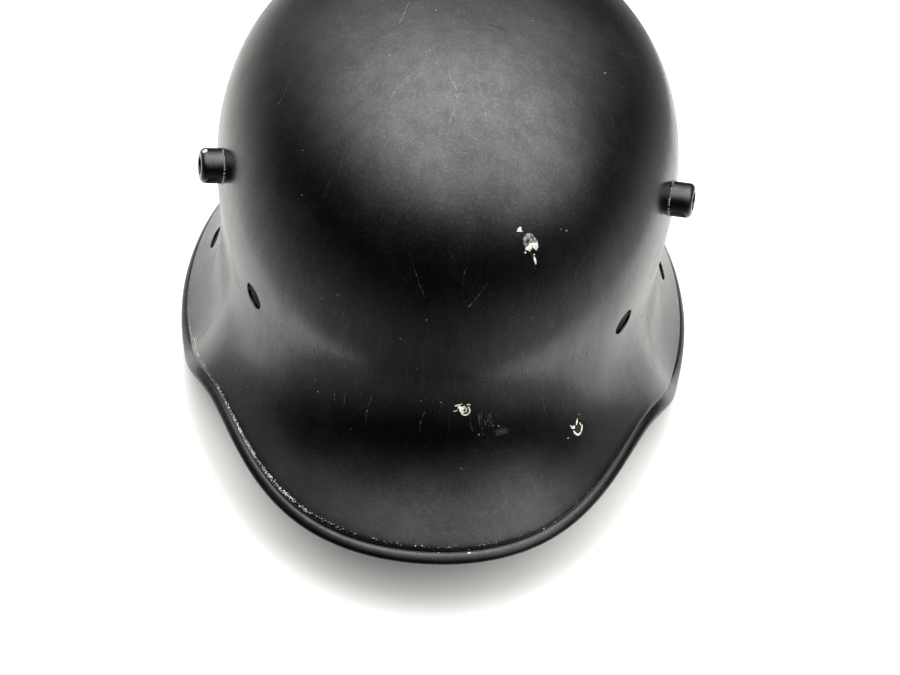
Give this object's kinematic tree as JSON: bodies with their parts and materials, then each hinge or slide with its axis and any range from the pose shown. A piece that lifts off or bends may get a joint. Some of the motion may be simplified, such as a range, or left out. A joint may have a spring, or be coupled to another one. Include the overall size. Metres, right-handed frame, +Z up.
{
  "type": "steel helmet shell",
  "caption": "Steel helmet shell with a domed crown, sloping visor, flared skirt over ears and neck, folded edge, open side holes and a hollow stepped lug on each side, painted black.",
  "frame": {"origin": "middle of the footprint, on the surface that the skirt stands on", "axes": "+Z up through the crown, -Y out of the visor, +X to the wearer's left"},
  "size_m": [0.2352, 0.2948, 0.184],
  "materials": {
    "black_paint": "satin black enamel, scratched and chipped"
  },
  "bodies": {
    "root": {"shell": "black_paint", "vent_lug_left": "black_paint", "vent_lug_right": "black_paint"}
  },
  "joints": []
}
